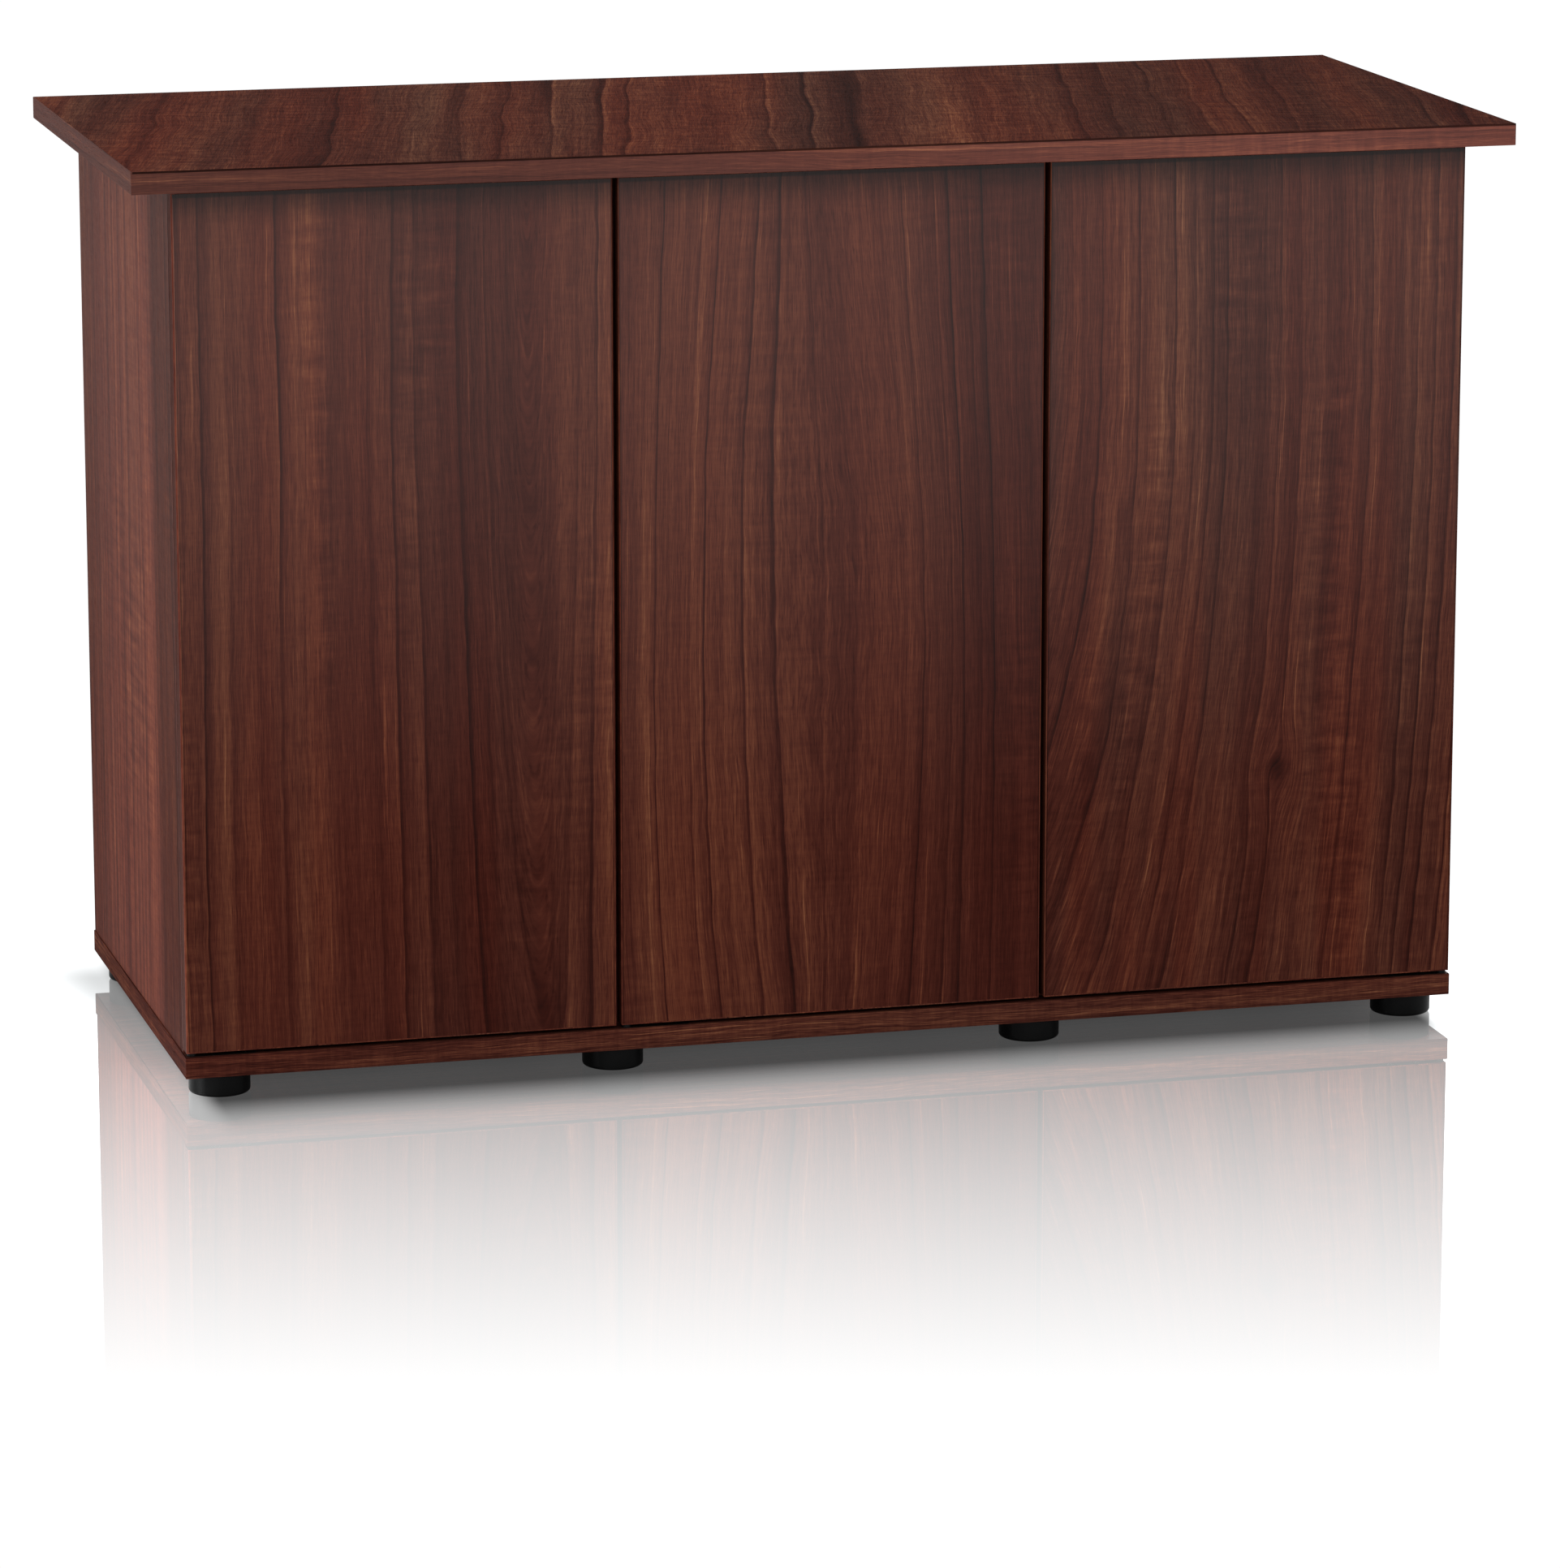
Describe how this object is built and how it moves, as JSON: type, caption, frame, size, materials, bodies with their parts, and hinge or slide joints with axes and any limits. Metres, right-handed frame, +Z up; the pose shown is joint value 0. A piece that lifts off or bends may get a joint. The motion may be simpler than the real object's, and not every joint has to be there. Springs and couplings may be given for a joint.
{
  "type": "aquarium stand cabinet",
  "caption": "Floor-standing aquarium cabinet with side-by-side push-to-open doors under an overhanging top, on low round feet.",
  "frame": {"origin": "on the floor, under the middle of the top panel", "axes": "+X to the right along the width as seen from the front, +Y from the doors towards the back, +Z up"},
  "size_m": [1.21, 0.51, 0.8],
  "materials": {
    "top_laminate": "dark mahogany-look laminate, semi-gloss",
    "carcass_laminate": "dark mahogany-look laminate, satin",
    "door_laminate": "dark mahogany-look laminate with soft cathedral grain, satin",
    "edge_band": "wood-look edge band, satin",
    "foot_plastic": "black",
    "latch_plastic": "black",
    "washer_nylon": "natural nylon",
    "buffer_rubber": "soft translucent white",
    "dowel_beech": "plain beech",
    "steel": "zinc-plated"
  },
  "bodies": {
    "cabinet": {"top_panel": "top_laminate", "top_edge_bands": "edge_band", "base_panel": "carcass_laminate", "base_edge_bands": "edge_band", "left_side_panel": "carcass_laminate", "right_side_panel": "carcass_laminate", "left_partition": "carcass_laminate", "right_partition": "carcass_laminate", "upright_edge_bands": "edge_band", "left_back_panel": "carcass_laminate", "middle_back_panel": "carcass_laminate", "right_back_panel": "carcass_laminate", "left_shelf": "carcass_laminate", "right_shelf": "carcass_laminate", "shelf_edge_bands": "edge_band", "shelf_pins": "steel", "cam_locks": "steel", "cam_bolts": "steel", "dowels": "dowel_beech", "foot_screws": "steel", "hinge_frame_leaves": "steel", "hinge_pins": "steel", "hinge_washers": "washer_nylon", "hinge_frame_screws": "steel", "latch_bodies": "latch_plastic", "latch_screws": "steel", "door_buffers": "buffer_rubber", "front_left_foot": "foot_plastic", "front_mid_left_foot": "foot_plastic", "front_mid_right_foot": "foot_plastic", "front_right_foot": "foot_plastic", "rear_left_foot": "foot_plastic", "rear_mid_left_foot": "foot_plastic", "rear_mid_right_foot": "foot_plastic", "rear_right_foot": "foot_plastic"},
    "left_door": {"left_door_panel": "door_laminate", "left_door_bands": "edge_band", "left_door_leaves": "steel", "left_door_screws": "steel", "left_strike": "steel"},
    "left_plunger": {"left_plunger": "steel"},
    "middle_door": {"middle_door_panel": "door_laminate", "middle_door_bands": "edge_band", "middle_door_leaves": "steel", "middle_door_screws": "steel", "middle_strike": "steel"},
    "middle_plunger": {"middle_plunger": "steel"},
    "right_door": {"right_door_panel": "door_laminate", "right_door_bands": "edge_band", "right_door_leaves": "steel", "right_door_screws": "steel", "right_strike": "steel"},
    "right_plunger": {"right_plunger": "steel"}
  },
  "joints": [
    {"name": "left_door_hinge", "type": "hinge", "parent": "cabinet", "child": "left_door", "pos_m": [-0.563, -0.225, 0.0405], "axis": [0, 0, -1], "range_deg": [0, 95]},
    {"name": "middle_door_hinge", "type": "hinge", "parent": "cabinet", "child": "middle_door", "pos_m": [-0.18267, -0.225, 0.0405], "axis": [0, 0, -1], "range_deg": [0, 95]},
    {"name": "right_door_hinge", "type": "hinge", "parent": "cabinet", "child": "right_door", "pos_m": [0.563, -0.225, 0.0405], "axis": [0, 0, 1], "range_deg": [0, 95]},
    {"name": "left_plunger_slide", "type": "slide", "parent": "cabinet", "child": "left_plunger", "axis": [0, -1, 0], "range_m": [0, 0.0125]},
    {"name": "middle_plunger_slide", "type": "slide", "parent": "cabinet", "child": "middle_plunger", "axis": [0, -1, 0], "range_m": [0, 0.0125]},
    {"name": "right_plunger_slide", "type": "slide", "parent": "cabinet", "child": "right_plunger", "axis": [0, -1, 0], "range_m": [0, 0.0125]}
  ],
  "couplings": [
    {"joint": "left_plunger_slide", "follows": "left_door_hinge", "m_per_rad": 0.0072},
    {"joint": "middle_plunger_slide", "follows": "middle_door_hinge", "m_per_rad": 0.0072},
    {"joint": "right_plunger_slide", "follows": "right_door_hinge", "m_per_rad": 0.0072}
  ]
}
